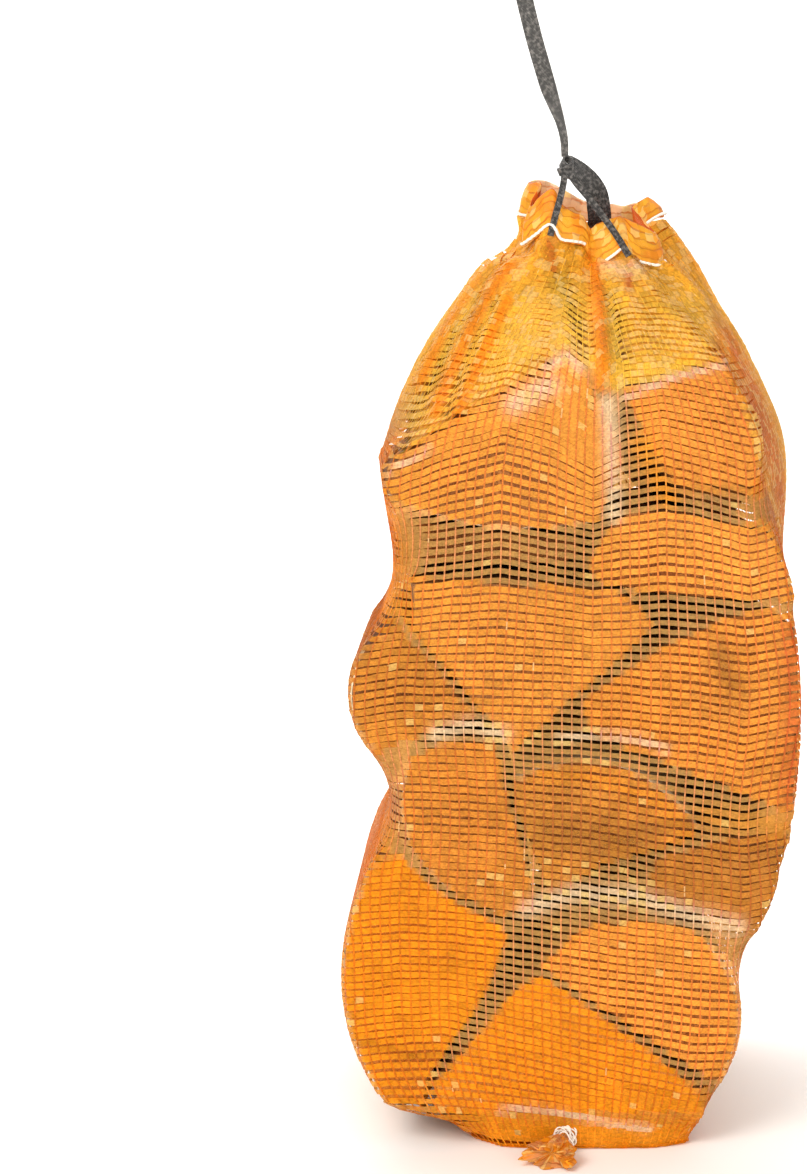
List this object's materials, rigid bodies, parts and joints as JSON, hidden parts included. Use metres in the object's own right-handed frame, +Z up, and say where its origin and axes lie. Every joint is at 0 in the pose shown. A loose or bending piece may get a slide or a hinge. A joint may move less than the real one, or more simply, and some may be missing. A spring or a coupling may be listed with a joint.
{
  "type": "firewood bundle in a net bag",
  "caption": "Split firewood logs stacked front to back in a standing orange net bag, its pleated neck gathered by a black drawstring that runs up taut.",
  "frame": {"origin": "on the ground, under the middle of the bag's bounding box without the taut drawstring tail", "axes": "+Z up, from the base to the neck; -Y is the front, where most sawn ends face the viewer and the tied end of the tube shows; +X is to the viewer's right"},
  "size_m": [0.2977, 0.3136, 0.7334],
  "materials": {
    "split_wood": "sawn ends, split sides and bark",
    "net": "woven polyethylene tape net, see-through, satin",
    "drawstring": "flat black woven tape",
    "thread": "white sewing thread"
  },
  "bodies": {
    "root": {"log_top_left": "split_wood", "log_top_right": "split_wood", "log_right_upper": "split_wood", "log_thin_slab": "split_wood", "log_centre": "split_wood", "log_left_middle": "split_wood", "log_right_middle": "split_wood", "log_left_lower": "split_wood", "log_centre_lower": "split_wood", "log_right_lower": "split_wood", "log_bottom_left": "split_wood", "log_bottom_centre": "split_wood", "log_bottom_right": "split_wood", "net_bag": "net", "drawstring_knot": "drawstring", "drawstring_leg_left": "drawstring", "drawstring_leg_right": "drawstring", "drawstring_strap": "drawstring", "drawstring_tail": "drawstring", "drawstring_end_knot": "drawstring", "hem_stitching": "thread", "bottom_thread": "thread"}
  },
  "joints": []
}
